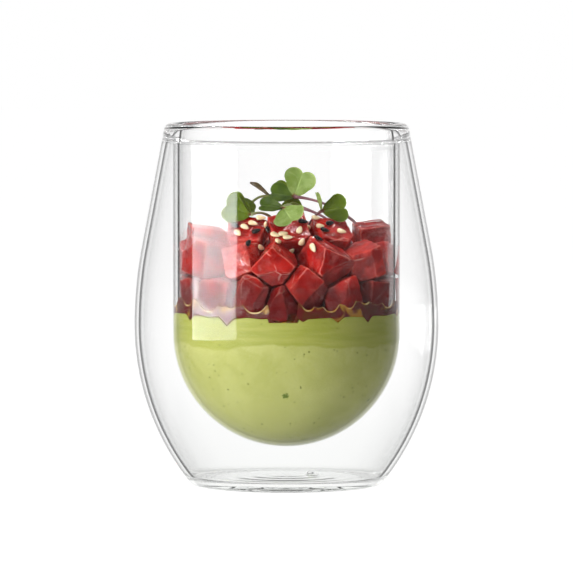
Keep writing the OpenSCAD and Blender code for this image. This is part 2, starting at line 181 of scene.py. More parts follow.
# ---- node helpers
class Nodes:
    """Builds the nodes of a new material, or of the world it is given."""

    def __init__(self, name, world=None):
        self.owner = world or bpy.data.materials.new(name)
        self.owner.use_nodes = True
        self.tree = self.owner.node_tree
        self.tree.nodes.clear()
        kind = "ShaderNodeOutputWorld" if world else "ShaderNodeOutputMaterial"
        self.out = self.add(kind)

    def add(self, kind, inputs=None, **settings):
        node = self.tree.nodes.new(kind)
        for key, value in settings.items():
            setattr(node, key, value)
        for key, value in (inputs or {}).items():
            self.put(node.inputs[key], value)
        return node

    def put(self, socket, value):
        if isinstance(value, bpy.types.NodeSocket):
            self.tree.links.new(value, socket)
        elif isinstance(value, bpy.types.Node):
            self.tree.links.new(value.outputs[0], socket)
        else:
            socket.default_value = value

    def math(self, operation, a, b=0.0):
        node = self.add("ShaderNodeMath", operation=operation)
        for socket, value in zip(node.inputs, (a, b)):
            self.put(socket, value)
        return node.outputs[0]

    def ramp(self, value, low, high, to_low=0.0, to_high=1.0):
        """A smooth step from to_low to to_high as the value goes from low to high."""
        return self.add(
            "ShaderNodeMapRange",
            {"Value": value, "From Min": low, "From Max": high,
             "To Min": to_low, "To Max": to_high},
            interpolation_type="SMOOTHSTEP",
        ).outputs[0]

    def mix(self, share, a, b, blend="MIX"):
        node = self.add("ShaderNodeMix", data_type="RGBA", blend_type=blend)
        self.put(node.inputs[0], share)
        for socket, value in ((node.inputs[6], a), (node.inputs[7], b)):
            if isinstance(value, tuple):
                value = (*value, 1.0)
            self.put(socket, value)
        return node.outputs[2]

    def stops(self, value, points):
        """A colour for each stop of the value, given as (value, colour)."""
        node = self.add("ShaderNodeValToRGB", {"Fac": value})
        marks = node.color_ramp.elements
        while len(marks) < len(points):
            marks.new(1.0)
        for mark, (place, colour) in zip(marks, points):
            mark.position = place
            if isinstance(colour, float):
                colour = (colour, colour, colour)
            mark.color = (*colour, 1.0)
        return node.outputs[0]

    def place(self, scale=(1, 1, 1), turn=(0, 0, 0)):
        """The point on the object in mm, scaled."""
        coords = self.add("ShaderNodeTexCoord").outputs["Object"]
        return self.add(
            "ShaderNodeMapping",
            {"Vector": coords, "Scale": tuple(s / MM for s in scale),
             "Rotation": turn},
        ).outputs[0]

    def split(self, vector):
        """The X, Y and Z of a vector."""
        return self.add("ShaderNodeSeparateXYZ", {0: vector}).outputs

    def marks(self):
        """The two numbers that map_points gave to each point."""
        return self.split(self.add("ShaderNodeUVMap", uv_map="place").outputs[0])

    def noise(self, vector, scale, detail=3.0, rough=0.5, distortion=0.0):
        return self.add(
            "ShaderNodeTexNoise",
            {"Vector": vector, "Scale": scale, "Detail": detail,
             "Roughness": rough, "Distortion": distortion},
        ).outputs["Fac"]

    def bump(self, height, distance_mm, strength=1.0, normal=None):
        node = self.add(
            "ShaderNodeBump",
            {"Height": height, "Distance": distance_mm * MM, "Strength": strength},
        )
        if normal is not None:
            self.put(node.inputs["Normal"], normal)
        return node.outputs[0]

    def finish(self, shader):
        self.tree.links.new(shader.outputs[0], self.out.inputs["Surface"])
        return self.owner

    def surface(self, colour, rough, bumps, soft, ior=1.5, shine=0.5):
        """Finish as a solid surface. soft is the share of light that goes under it,
        how far its red, green and blue get as shares of the reach, and the reach
        in mm."""
        share, spread, reach = soft
        return self.finish(self.add(
            "ShaderNodeBsdfPrincipled",
            {"Base Color": colour, "Roughness": rough, "Normal": bumps, "IOR": ior,
             "Specular IOR Level": shine, "Subsurface Weight": share,
             "Subsurface Radius": spread, "Subsurface Scale": reach * MM},
        ))


# ---- tumbler
def glass_loops():
    """The two closed sections of the tumbler: its outside with the bowl, and
    the sealed space between the walls; then the centre of the space's round top."""
    lower_c = (BELLY_R - LOWER_CURVE, BELLY_Z)
    upper_c = (BELLY_R - UPPER_CURVE, BELLY_Z)
    rim_c = (BORE_R + RIM_R, HEIGHT - RIM_R)
    way = (rim_c[0] - upper_c[0], rim_c[1] - upper_c[1])
    reach = math.hypot(*way)
    taper = math.degrees(
        math.atan2(way[1], way[0]) - math.acos((UPPER_CURVE - RIM_R) / reach)
    )
    out = (math.cos(math.radians(taper)), math.sin(math.radians(taper)))

    def side(inset, floor, corner_r):
        """Corner, lower curve and upper curve, going up."""
        curve = LOWER_CURVE - inset
        dz = BELLY_Z - floor - corner_r
        dx = math.sqrt((curve - corner_r) ** 2 - dz ** 2)
        corner = (lower_c[0] + dx, floor + corner_r)
        touch = math.degrees(math.atan2(-dz, dx))
        return (
            arc(corner, corner_r, -90, touch, 14)[:-1]
            + arc(lower_c, curve, touch, 0, 44)[:-1]
            + arc(upper_c, UPPER_CURVE - inset, 0, taper, 20)
        )

    def dome(level, r):
        """Height of the shallow hollow's dome."""
        big = (HOLLOW_R ** 2 + HOLLOW_DEPTH ** 2) / (2 * HOLLOW_DEPTH)
        return level + HOLLOW_DEPTH - big + math.sqrt(big ** 2 - r ** 2)

    outer_side = side(0, 0, FOOT_ROUND)
    rim = arc(rim_c, RIM_R, taper, 180, 26)
    bowl = arc((0, BOWL_Z), BORE_R, 0, -90, 46)
    outside = (
        [(r, dome(0, r)) for r in np.linspace(0, HOLLOW_R, 18)]
        + line((HOLLOW_R, 0), outer_side[0], 4)
        + outer_side
        + line(outer_side[-1], rim[0], 14)
        + rim
        + line(rim[-1], bowl[0], 26)
        + bowl
    )

    top = HEIGHT - RIM_SOLID
    edge = upper_c[0] * out[0] + upper_c[1] * out[1] + UPPER_CURVE - OUTER_WALL
    seam_r = (edge - out[0] * CUP_R - out[1] * top) / (1 + out[0] - out[1])
    seam_c = (CUP_R + seam_r, top - seam_r)
    inner_side = side(OUTER_WALL, BASE_WALL, FLOOR_ROUND)
    seam = arc(seam_c, seam_r, 180, taper, 18)
    cup = arc((0, BOWL_Z), CUP_R, -90, 0, 46)
    floor = [(r, dome(BASE_WALL, r)) for r in np.linspace(HOLLOW_R, 0, 88)]
    inside = (
        cup
        + line(cup[-1], seam[0], 26)
        + seam
        + line(seam[-1], inner_side[-1], 14)
        + inner_side[::-1]
        + line(inner_side[0], floor[0], 3)
        + floor
    )
    return outside, inside, seam_c


GLASS_IOR = 1.47
RINGS_PER_MM = 0.22


def glass_material(name, outer, inner, mirror, low_inner=None, calm=False,
                   grey=0.976, rings=0.0, see_through=0.0):
    """Clear glass. The long way through a wall near its edge takes up light:
    outer and inner are (facing, grey) stops for light that enters and leaves.
    mirror is (facing, share) stops: how much of the plain glass's reflection shows.
    low_inner is for the belly, where the wall is thicker and its line darker.
    A calm face mirrors nothing from inside the wall until near the critical angle.
    grey is how much light the foot lets through, rings the depth in mm of the foot's
    round waves, and see_through the share of light that isn't bent at all."""
    n = Nodes(name)
    facing = n.add("ShaderNodeLayerWeight", {"Blend": 0.5}).outputs["Facing"]
    leaving = n.add("ShaderNodeNewGeometry").outputs["Backfacing"]
    inner = n.stops(facing, inner)
    height = n.split(n.place())["Z"]
    if low_inner is not None:
        inner = n.mix(n.ramp(height, 50.0, 80.0), n.stops(facing, low_inner), inner)
    colour = n.mix(leaving, n.stops(facing, outer), inner)
    # The pressed foot is thicker too, and a little greyer
    tint = (grey, grey + 0.002, grey)
    colour = n.mix(n.ramp(height, 2.0, 45.0, 1.0, 0.0), colour, tint, "MULTIPLY")
    ripple = n.noise(n.place((0.05, 0.05, 0.012)), 1.0, 2.0)
    bumped = n.bump(ripple, 0.05, 0.25)
    if rings:
        flat = n.place((RINGS_PER_MM, RINGS_PER_MM, 0.0))
        out = n.add("ShaderNodeVectorMath", {0: flat}, operation="LENGTH")
        turns = n.math("MULTIPLY", out.outputs["Value"], 2 * math.pi)
        bumped = n.bump(n.math("SINE", turns), rings, 1.0, bumped)
    look = {"Color": colour, "Roughness": 0.0, "IOR": GLASS_IOR, "Normal": bumped}
    glass = n.add("ShaderNodeBsdfGlass", look)
    through = n.add("ShaderNodeBsdfRefraction", look)
    share = n.stops(facing, mirror)
    inside = n.ramp(facing, 0.20, 0.245, 0.0 if calm else 0.2, 1.0)
    share = n.mix(leaving, share, inside)
    body = n.add("ShaderNodeMixShader", {0: share, 1: through, 2: glass})
    if see_through:
        plain = n.add("ShaderNodeBsdfTransparent", {"Color": (1, 1, 1, 1)})
        body = n.add("ShaderNodeMixShader", {0: see_through, 1: body, 2: plain})
    clear = n.add("ShaderNodeBsdfTransparent", {"Color": (0.97, 0.98, 0.975, 1)})
    # Light for the food goes straight through, or it would arrive as caustics
    path = n.add("ShaderNodeLightPath").outputs
    lamp = n.math("MAXIMUM", path["Is Shadow Ray"], path["Is Diffuse Ray"])
    return n.finish(n.add("ShaderNodeMixShader", {0: lamp, 1: body, 2: clear}))


# The drop of glass that closes the vent, and its drawn-out tail
VENT_X = 6.7
VENT_R = 1.2
VENT_TAIL = 2.9
VENT_HEIGHT = 1.0


def vent_bead(p):
    """Lifts the points of the foot's upper face where the vent's drop is."""
    x, y, z = p
    if not 1.0 < z < BASE_WALL + HOLLOW_DEPTH + 0.5:
        return p
    along = (x - VENT_X) / (VENT_R if x < VENT_X else VENT_TAIL)
    d = along ** 2 + (y / VENT_R) ** 2
    if d >= 1:
        return p
    return (x, y, z + VENT_HEIGHT * (1 - d) ** 1.2)


# Stops of (facing, grey) and of (facing, share). A ray that leaves the glass at its
# critical angle, at a facing of 0.267, draws the thin dark line along a wall's inner
# face. SKIN darkens the outer face where that line is seen through it.
LINE = [(0.0, 1.0), (0.235, 0.99), (0.255, 0.90), (0.2605, 0.52), (0.2632, 0.03),
        (0.2668, 0.03), (0.2680, 1.0), (1.0, 1.0)]
LOW_LINE = [(0.0, 1.0), (0.240, 0.99), (0.254, 0.92), (0.2595, 0.50), (0.2620, 0.0),
            (0.2668, 0.02), (0.2680, 1.0), (1.0, 1.0)]
BORE_LINE = [(0.0, 1.0), (0.235, 0.99), (0.252, 0.88), (0.2590, 0.35), (0.2612, 0.02),
             (0.2668, 0.03), (0.2680, 1.0), (1.0, 1.0)]
SKIN = [(0.0, 1.0), (0.3, 0.990), (0.5, 0.965), (0.65, 0.90), (0.73, 0.80), (0.77, 0.99),
        (0.95, 0.98), (1.0, 0.82)]
EVEN = [(0.0, 1.0), (1.0, 1.0)]
MIRROR = [(0.0, 0.05), (0.3, 0.06), (0.65, 1.0), (1.0, 1.0)]
CUP_MIRROR = [(0.0, 0.05), (0.045, 0.06), (0.085, 0.21), (0.5, 0.22), (0.9, 1.0)]


def glass_looks():
    """The tumbler's materials, in the order that glass_slot gives."""
    return [
        glass_material("clear_glass_skin", SKIN, LINE, MIRROR, LOW_LINE),
        glass_material("clear_glass_bore", SKIN, BORE_LINE, MIRROR),
        glass_material("clear_glass_cup", SKIN, BORE_LINE, CUP_MIRROR),
        glass_material("clear_glass_shell", SKIN, LINE, MIRROR, LOW_LINE, calm=True),
        glass_material(
            "clear_glass_foot", EVEN, EVEN, CUP_MIRROR, grey=0.99, rings=0.014
        ),
        glass_material("clear_glass_seam", EVEN, EVEN, MIRROR, see_through=0.55),
    ]


def glass_slot(centre, on_outside, seam_z):
    """Which of glass_looks a face has, by its centre in mm."""
    skin, bore, cup, shell, foot, seam = range(6)
    r, z = math.hypot(centre.x, centre.y), centre.z
    if z < BASE_WALL + HOLLOW_DEPTH + VENT_HEIGHT + 0.2 and r < HOLLOW_R:
        return foot
    if on_outside:
        return bore if z > CUP_LIFT and r < BORE_R + 0.01 else skin
    if z > seam_z:
        return seam
    return cup if r < CUP_R + 0.05 and z > CUP_LIFT - 0.1 else shell


def build_tumbler():
    outside, inside, seam_centre = glass_loops()
    points, faces = revolve(outside, GLASS_SIDES)
    more, more_faces = revolve(inside, GLASS_SIDES, vent_bead)
    start = len(points)
    mesh = mesh_from("tumbler", points + more, faces + shifted(more_faces, start))
    tumbler = make_object("tumbler", mesh, *glass_looks())
    for face in mesh.polygons:
        on_outside = face.vertices[0] < start
        face.material_index = glass_slot(face.center / MM, on_outside, seam_centre[1])
    settle(tumbler, "clear_glass", "glass")
    return tumbler


# ---- mousse
# Where the dressing and the lowest dice press down into the mousse at the glass, as
# [degrees from the front, half width in degrees, depth]
DIPS = [(-58.7, 4.5, 1.8), (-32.0, 5.0, 2.5), (27.2, 4.0, 1.5), (46.2, 3.5, 1.7),
        (8.5, 3.0, 0.9), (78.0, 6.0, 1.0), (-84.0, 6.0, 0.9), (118.0, 6.0, 1.8),
        (151.0, 5.0, 1.4), (-112.0, 5.0, 2.0), (-148.0, 6.0, 1.5), (178.0, 5.0, 1.1)]
# Contact patches of the lowest dice on the glass, ringed by a rim of oil, as
# [degrees from the front, half width in degrees, height of the lowest point]
PATCHES = [(-80.0, 7.5, 52.4), (-61.0, 6.0, 53.2), (-43.7, 8.0, 51.9), (-16.5, 7.0, 51.9),
           (-29.6, 4.6, 52.9), (11.3, 4.6, 52.6), (34.0, 4.6, 53.0),
           (23.2, 5.6, 52.2), (44.5, 5.2, 54.0), (64.4, 8.4, 52.5), (86.0, 8.0, 53.0),
           (108.0, 8.5, 52.0), (131.0, 8.0, 52.8), (153.0, 7.0, 52.0), (173.0, 8.0, 52.6),
           (-103.0, 8.0, 52.2), (-124.0, 7.0, 53.0), (-144.0, 8.0, 52.1),
           (-166.0, 8.0, 52.8)]
# The die at the front that sinks to the mousse
SUNK_AT = -1.6
SUNK_HALF = 7.6
SUNK_Z = 49.0
SUNK_DIE = "tuna_die_05"
# The one large fleck of herb at the glass, in mm
HERB = (-0.3, -27.1, 28.2)


def degrees_apart(a, b):
    return abs((a - b + 180) % 360 - 180)


def mousse_edge(turn):
    """Height of the mousse at the glass, by the turn from the front."""
    lift = noise.noise(Vector((math.cos(turn) * 1.6, math.sin(turn) * 1.6, 3.1)))
    fine = noise.noise(Vector((math.cos(turn) * 7, math.sin(turn) * 7, 8.7)))
    z = MOUSSE_TOP + 0.65 + 0.45 * lift + 0.3 * fine
    for at, half, depth in DIPS:
        near = degrees_apart(math.degrees(turn), at) / half
        if near < 1:
            z -= depth * (1 - near) ** 1.3
    if degrees_apart(math.degrees(turn), SUNK_AT) < SUNK_HALF:
        z = min(z, SUNK_Z)
    return z


def specks(n, at, colour, scale, rare, most, tone):
    """Round specks in the cells of a pattern: rare is the share of cells without
    one, and most the radius of the largest, in cells."""
    cells = n.add("ShaderNodeTexVoronoi", {"Vector": at, "Scale": scale})
    chance = n.add("ShaderNodeSeparateColor", {0: cells.outputs["Color"]}).outputs
    few = n.math("GREATER_THAN", chance[0], rare)
    size = n.math("MULTIPLY", chance[1], most)
    past = n.math("SUBTRACT", cells.outputs["Distance"], size)
    dot = n.ramp(past, 0.0, 0.05, 1.0, 0.0)
    fleck = n.math("MULTIPLY", n.math("MULTIPLY", dot, few), 0.75)
    return n.mix(fleck, colour, tone)


def mousse_material():
    n = Nodes("avocado_mousse")
    at = n.place()
    soft = n.noise(at, 0.09, 4.0, 0.6, 0.6)
    fine = n.noise(at, 1.3, 4.0)
    colour = n.mix(n.ramp(soft, 0.35, 0.65), (0.47, 0.48, 0.13), (0.55, 0.555, 0.18))
    colour = n.mix(n.ramp(fine, 0.45, 0.75, 0.0, 0.22), colour, (0.62, 0.64, 0.29))
    # Painted reflection: the upper part is darker and more saturated down to a wavy edge,
    # as the glass mirrors the white floor only over the part below
    height = n.split(at)["Z"]
    wave = n.noise(n.place((0.06, 0.06, 0.02)), 1.0, 3.0, 0.55)
    level = n.math("ADD", height, n.math("MULTIPLY", wave, 7.0))
    # Mask of the painted reflection, 1 above the wavy edge
    wet = n.ramp(level, 45.2, 46.1)
    streak = n.noise(n.place((0.08, 0.08, 0.7)), 1.0, 3.0)
    # The darker tone of the painted reflection
    painted_reflection_tone = n.mix(n.ramp(streak, 0.35, 0.7), (0.35, 0.375, 0.045), (0.44, 0.45, 0.085))
    colour = n.mix(n.math("MULTIPLY", wet, 0.75), colour, painted_reflection_tone)
    # Low down it is paler, where more light comes through the glass
    pale = n.ramp(height, 14.0, 40.0, 0.55, 0.0)
    colour = n.mix(pale, colour, (0.72, 0.72, 0.30))
    # Fine dark specks, and a few larger flecks of herb
    colour = specks(n, at, colour, 0.75, 0.66, 0.21, (0.15, 0.17, 0.025))
    colour = specks(n, at, colour, 0.26, 0.90, 0.12, (0.16, 0.22, 0.03))
    herb = n.add("ShaderNodeVectorMath", {0: at, 1: HERB}, operation="DISTANCE")
    rough = n.math("MULTIPLY", n.noise(at, 1.6, 3.0), 2.2)
    herb = n.ramp(n.math("ADD", herb.outputs["Value"], rough), 1.7, 2.1, 0.85, 0.0)
    colour = n.mix(herb, colour, (0.10, 0.17, 0.02))
    bumps = n.bump(n.math("ADD", fine, soft), 0.15, 0.5)
    under = (0.2, (1.0, 0.8, 0.3), 1.5)
    return n.surface(colour, 0.4, bumps, under, ior=1.4, shine=0.25)


def build_mousse():
    r = BORE_R + WET
    loop = arc((0, BOWL_Z), r, -90, 0, 60) + line((r, BOWL_Z), (r, MOUSSE_TOP), 8)
    loop += [(r, MOUSSE_TOP), (r - 0.25, MOUSSE_TOP + 0.2)]
    loop += [
        (r * s, MOUSSE_TOP + 0.2 + MOUSSE_DOME * (1 - s * s))
        for s in np.linspace(0.97, 0.0, 22)
    ]

    def shape(p):
        x, y, z = p
        rise = max(0.0, (z - BOWL_Z) / (MOUSSE_TOP - BOWL_Z))
        out = min(1.0, max(0.0, (math.hypot(x, y) - r + 4) / 4))
        turn = math.atan2(x, -y)
        z += min(1.0, rise) * out * (mousse_edge(turn) - MOUSSE_TOP)
        if rise > 1:
            inner = min(1.0, max(0.0, (r - math.hypot(x, y)) / 2))
            z += inner * 0.5 * noise.noise(Vector((x * 0.15, y * 0.15, 0.5)))
        return (x, y, z)

    points, faces = revolve(loop, MOUSSE_SIDES, shape)
    mousse = make_object("mousse", mesh_from("mousse", points, faces), mousse_material())
    settle(mousse, "avocado_mousse", "mousse")


# ---- dressing
# The film on the glass before it is bent to the mousse's edge and the oil's top
FILM_RISE = 3.0
# What the map holds away from the film: a depth past its rim, and no gold
POOL_DEPTH = (4.0, 0.0)


def oil_top(turn):
    """Height of the dressing on the glass, where it creeps up between the dice,
    and how golden its rim is: most so below the middle of each contact patch."""
    here = math.degrees(turn)
    around = Vector((math.cos(turn), math.sin(turn), 0.0))
    z = 54.2 + 1.4 * noise.noise(around * 6 + Vector((0, 0, 1.7)))
    z += 0.7 * noise.noise(around * 17 + Vector((0, 0, 4.1)))
    gilt = 0.12
    for at, half, low in PATCHES:
        near = degrees_apart(here, at) / half
        if near < 1:
            rim = low + 3.2 * near ** 2.6
            if rim < z:
                z, gilt = rim, max(0.12, 1.15 - 1.1 * near ** 2)
    near = degrees_apart(here, SUNK_AT) / SUNK_HALF
    if near < 1:
        z, gilt = min(z, SUNK_Z + 0.25 + 5.0 * near ** 8), 0.0
    return max(z, mousse_edge(turn) + 0.15), min(1.0, gilt)


def dressing_material():
    """The map holds the depth below the top of the film in mm, and how golden
    its top is there."""
    n = Nodes("soy_dressing")
    at = n.place()
    patch = n.noise(at, 0.30, 3.0, 0.6, 0.8)
    colour = n.mix(n.ramp(patch, 0.42, 0.60), (0.13, 0.006, 0.006), (0.10, 0.018, 0.003))
    amber = n.ramp(n.noise(at, 0.22, 2.0, 0.5, 0.5), 0.56, 0.70)
    colour = n.mix(amber, colour, (0.44, 0.20, 0.015))
    place = n.marks()
    deep, gilt = place["X"], place["Y"]
    rim = n.math("MULTIPLY", n.ramp(deep, 0.15, 0.55, 1.0, 0.0), gilt)
    shade = n.ramp(n.noise(at, 0.5, 2.0), 0.35, 0.6)
    gold = n.mix(shade, (0.68, 0.34, 0.05), (0.95, 0.72, 0.30))
    colour = n.mix(n.math("MULTIPLY", rim, 0.85), colour, gold)
    bumps = n.bump(n.noise(at, 0.5, 2.0), 0.2, 0.5)
    under = (0.15, (1.0, 0.35, 0.05), 1.5)
    return n.surface(colour, 0.12, bumps, under, ior=1.46, shine=0.2)


def build_dressing():
    r = BORE_R + WET
    # Its underside stands clear of the mousse's dome
    crown = [
        (r * s, MOUSSE_TOP + 0.1 + MOUSSE_DOME * (1 - s * s))
        for s in np.linspace(0.0, 1.0, 24)
    ]
    # The film on the glass, its rounded lip, its back and the pool's surface
    rises = (0.4, 0.8, 1.2, 1.6, 2.0, 2.4, 2.7, 2.85, 2.95)
    film = [(r, MOUSSE_TOP + rise) for rise in rises]
    film += [(r - 0.05, MOUSSE_TOP + FILM_RISE), (r - 0.2, MOUSSE_TOP + FILM_RISE + 0.03)]
    film += [(r - 0.38, MOUSSE_TOP + 2.9), (r - 0.42, MOUSSE_TOP + 2.2)]
    loop = crown + film + [(r - 0.9, BED_Z + 0.1)]
    loop += [(r * s, BED_Z - 0.12) for s in np.linspace(0.95, 0.0, 20)]
    deep = []

    def shape(p):
        x, y, z = p
        turn = math.atan2(x, -y)
        low = mousse_edge(turn)
        high, gilt = oil_top(turn)
        out = math.hypot(x, y)
        if out > r - 0.5 and z > MOUSSE_TOP + 0.2:
            z = low + (z - MOUSSE_TOP) / FILM_RISE * (high - low)
            deep.append((max(0.0, high - z), gilt))
            return (x, y, z)
        if z < BED_Z - 0.5:
            near = min(1.0, max(0.0, (out - r + 4) / 4))
            z += near * (low - MOUSSE_TOP - 0.1)
        deep.append(POOL_DEPTH)
        return (x, y, z)

    points, faces = revolve(loop, DRESSING_SIDES, shape)
    mesh = mesh_from("dressing", points, faces)
    map_points(mesh, deep)
    settle(make_object("dressing", mesh, dressing_material()), "soy_dressing", "dressing")


# ---- tuna
DIE_VOXEL = 0.42
# Light and deep red of the three kinds of dice
FLESH_TONES = [((0.53, 0.014, 0.009), (0.24, 0.002, 0.001)),
               ((0.42, 0.008, 0.006), (0.18, 0.001, 0.001)),
               ((0.58, 0.030, 0.020), (0.28, 0.003, 0.003))]


def flesh_colour(n, at, light, deep, seed):
    """Raw muscle: its colour, its grain, its sinew lines and where those show."""
    turned = n.place(turn=(0.6 + seed, 0.4 * seed, 1.1 * seed))
    body = n.noise(turned, 0.13, 5.0, 0.6, 0.6)
    colour = n.mix(n.ramp(body, 0.40, 0.62), deep, light)
    # Bands of muscle with fine pale grain, parted by a few curved sinew lines
    way = (0.5 * seed, 0.9, 0.7 * seed)
    bands = n.noise(n.place((0.10, 0.55, 0.10), way), 1.0, 3.0, 0.55, 0.5)
    colour = n.mix(n.ramp(bands, 0.50, 0.70, 0.0, 0.45), colour, (0.56, 0.06, 0.045))
    grain = n.noise(n.place((0.22, 1.7, 0.22), way), 1.0, 4.0, 0.65)
    colour = n.mix(n.ramp(grain, 0.52, 0.80, 0.0, 0.30), colour, (0.66, 0.12, 0.09))
    pearl = n.noise(n.place((0.16, 0.16, 0.16), way), 1.0, 4.0, 0.6, 0.4)
    colour = n.mix(n.ramp(pearl, 0.54, 0.74, 0.0, 0.40), colour, (0.52, 0.13, 0.12))
    cells = n.add(
        "ShaderNodeTexVoronoi",
        {"Vector": n.place((0.06, 0.15, 0.10), (0.7 * seed, 0.5, 1.3 * seed)),
         "Scale": 1.0, "Randomness": 1.0},
        feature="DISTANCE_TO_EDGE",
    ).outputs["Distance"]
    bent = n.math("ADD", cells, n.math("MULTIPLY", n.noise(at, 0.22, 3.0), 0.05))
    sinew = n.ramp(bent, 0.026, 0.040, 1.0, 0.0)
    patchy = n.ramp(n.noise(at, 0.20, 2.0), 0.42, 0.56)
    sinew = n.math("MULTIPLY", n.math("MULTIPLY", sinew, patchy), 0.55)
    return n.mix(sinew, colour, (0.80, 0.36, 0.30)), grain, sinew, patchy


def tuna_material(name, tones, seed, wet):
    """Raw flesh; the map holds how far each point is a cut edge. Where it is
    pressed wet on the glass it shines less."""
    n = Nodes(name)
    at = n.place()
    colour, grain, sinew, patchy = flesh_colour(n, at, *tones, seed)
    # Painted light: cut edges are paler, standing in for light that shines through the
    # thin flesh there
    rim = n.ramp(n.marks()["X"], 0.35, 0.95, 0.0, 0.6)
    rim = n.math("MULTIPLY", rim, n.ramp(patchy, 0.0, 1.0, 0.35, 1.0))
    colour = n.mix(rim, colour, (0.74, 0.20, 0.16))
    # The lowest dice are darker, up to a wandering edge
    wander = n.math("MULTIPLY", n.noise(at, 0.22, 3.0, 0.6), 14.0)
    low_darkening_level = n.math("ADD", n.split(at)["Z"], wander)
    colour = n.mix(n.ramp(low_darkening_level, 60.0, 73.0, 0.82, 0.0), colour, (0.085, 0.003, 0.004))
    ripples = n.noise(n.place((1.1, 1.1, 1.1)), 1.0, 2.0, 0.5, 0.8)
    relief = n.noise(at, 0.30, 2.0)
    for part, share in ((grain, 0.035), (sinew, 0.08), (ripples, 0.12)):
        relief = n.math("ADD", relief, n.math("MULTIPLY", part, share))
    return n.surface(
        colour, n.ramp(ripples, 0.3, 0.7, 0.05, 0.11), n.bump(relief, 0.8, 1.0),
        (0.55, (1.0, 0.10, 0.06), 2.2), ior=1.42, shine=0.15 if wet else 0.32,
    )


def soften(node):
    """A CAD block as soft flesh: its corners rounded by a fine remesh."""
    mesh = node.data.copy()
    mesh.materials.clear()
    block = bpy.data.objects.new("block", mesh)
    bpy.context.scene.collection.objects.link(block)
    remesh = block.modifiers.new("remesh", "REMESH")
    remesh.mode = "VOXEL"
    remesh.voxel_size = DIE_VOXEL * MM
    relax = block.modifiers.new("relax", "SMOOTH")
    relax.factor = 0.5
    relax.iterations = 3
    done = bpy.data.meshes.new_from_object(
        block.evaluated_get(bpy.context.evaluated_depsgraph_get())
    )
    bpy.data.objects.remove(block)
    return done


def convexity(mesh):
    """How much each point of a mesh stands out from its neighbours, from 0 on flat
    flesh to 1 on a cut edge."""
    count = len(mesh.vertices)
    at, normals = read_points(mesh, "co"), read_points(mesh, "normal")
    ends = np.empty(2 * len(mesh.edges), dtype=np.int32)
    mesh.edges.foreach_get("vertices", ends)
    a, b = ends[0::2], ends[1::2]
    way = at[a] - at[b]
    way /= np.linalg.norm(way, axis=1)[:, None] + 1e-12
    ties = np.bincount(ends, minlength=count) + 1e-9
    bend = np.bincount(a, (way * normals[a]).sum(1), count)
    bend += np.bincount(b, -(way * normals[b]).sum(1), count)
    bend /= ties
    for _ in range(2):
        near = np.bincount(a, bend[b], count) + np.bincount(b, bend[a], count)
        bend = 0.5 * bend + 0.5 * near / ties
    return np.clip(bend / 0.16, 0, 1)


def dented(at, normals):
    """Dents and fibre ridges go inwards only, so that the dice stay apart."""
    dent = np.array([
        0.30 * noise.noise(Vector(p * 0.28))
        + 0.16 * noise.noise(Vector(p * (0.5, 1.6, 0.9)))
        for p in at
    ])
    return at - normals * np.clip(dent + 0.08, 0, 0.6)[:, None]


def pressed(at, sunk):
    """Flesh that touches the glass is pressed wet onto it, and the sunk die's also
    goes down to the mousse. Gives the points and how far each is pressed."""
    out = np.hypot(at[:, 0], at[:, 1])
    press = np.clip((out - (BORE_R - 0.62)) / 0.3, 0, 1)
    press = press * press * (3 - 2 * press)
    if sunk:
        drop = np.clip((54.5 - at[:, 2]) / 3.0, 0, 1) * press
        at[:, 2] -= drop * (BED_Z - SUNK_Z + 0.1)
    reach = BORE_R + WET * (1.4 if sunk else 0.5)
    at[:, :2] *= (1 + press * (reach - out) / out)[:, None]
    return at, press


def build_dice():
    looks = [
        [tuna_material(f"raw_tuna_{letter}_{kind}", tones, float(k), kind == "pressed")
         for kind in ("cut", "pressed")]
        for k, (letter, tones) in enumerate(zip("abc", FLESH_TONES))
    ]
    names = sorted(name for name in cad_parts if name.startswith("tuna_die_"))
    for i, name in enumerate(names):
        mesh = soften(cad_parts[name])
        at = dented(read_points(mesh, "co") / MM, read_points(mesh, "normal"))
        at, press = pressed(at, name == SUNK_DIE)
        mesh.vertices.foreach_set("co", (at * MM).ravel())
        mesh.update()
        map_points(mesh, [(bend, 0.0) for bend in convexity(mesh)])
        die = make_object("die_" + name[-2:], mesh, *looks[i % len(looks)])
        for face in mesh.polygons:
            if all(press[v] > 0.98 for v in face.vertices):
                face.material_index = 1
        settle(die, "raw_tuna", name)


# ---- sesame
def seed_material(name, pale, dark, rough, shine):
    n = Nodes(name)
    at = n.place()
    tone = n.noise(at, 0.8, 2.0)
    colour = n.mix(n.ramp(tone, 0.35, 0.65), pale, dark)
    bumps = n.bump(n.noise(at, 5.0, 2.0), 0.06, 0.5)
    return n.surface(colour, rough, bumps, (0.1, (1.0, 0.7, 0.4), 0.5), shine=shine)


def islands(mesh):
    """The separate shells of a mesh, as lists of points."""
    near = {v.index: [] for v in mesh.vertices}
    merged = {}
    home = {}
    for v in mesh.vertices:
        key = tuple(round(c, 7) for c in v.co)
        home[v.index] = merged.setdefault(key, v.index)
    for e in mesh.edges:
        a, b = home[e.vertices[0]], home[e.vertices[1]]
        near[a].append(b)
        near[b].append(a)
    seen = set()
    found = []
    for first in sorted(set(home.values())):
        if first in seen:
            continue
        group, stack = [], [first]
        seen.add(first)
        while stack:
            k = stack.pop()
            group.append(mesh.vertices[k].co.copy())
            for other in near[k]:
                if other not in seen:
                    seen.add(other)
                    stack.append(other)
        found.append(group)
    return found


def seed_points(length, width, thick):
    """A plump drop, its round end at -X."""
    rings, sides = 18, 20
    points = [(-length / 2, 0.0, 0.0)]
    for i in range(1, rings):
        t = i / rings
        x = -math.cos(math.pi * t)
        half = min(1.0, math.sin(math.pi * t) ** 0.85 * (1 - 0.33 * (x + 0.1)))
        for j in range(sides):
            a = 2 * math.pi * j / sides
            points.append(
                (x * length / 2, half * math.cos(a) * width / 2,
                 half * math.sin(a) * thick / 2)
            )
    points.append((length / 2, 0.0, 0.0))
    return points, capped_faces(rings - 1, sides)


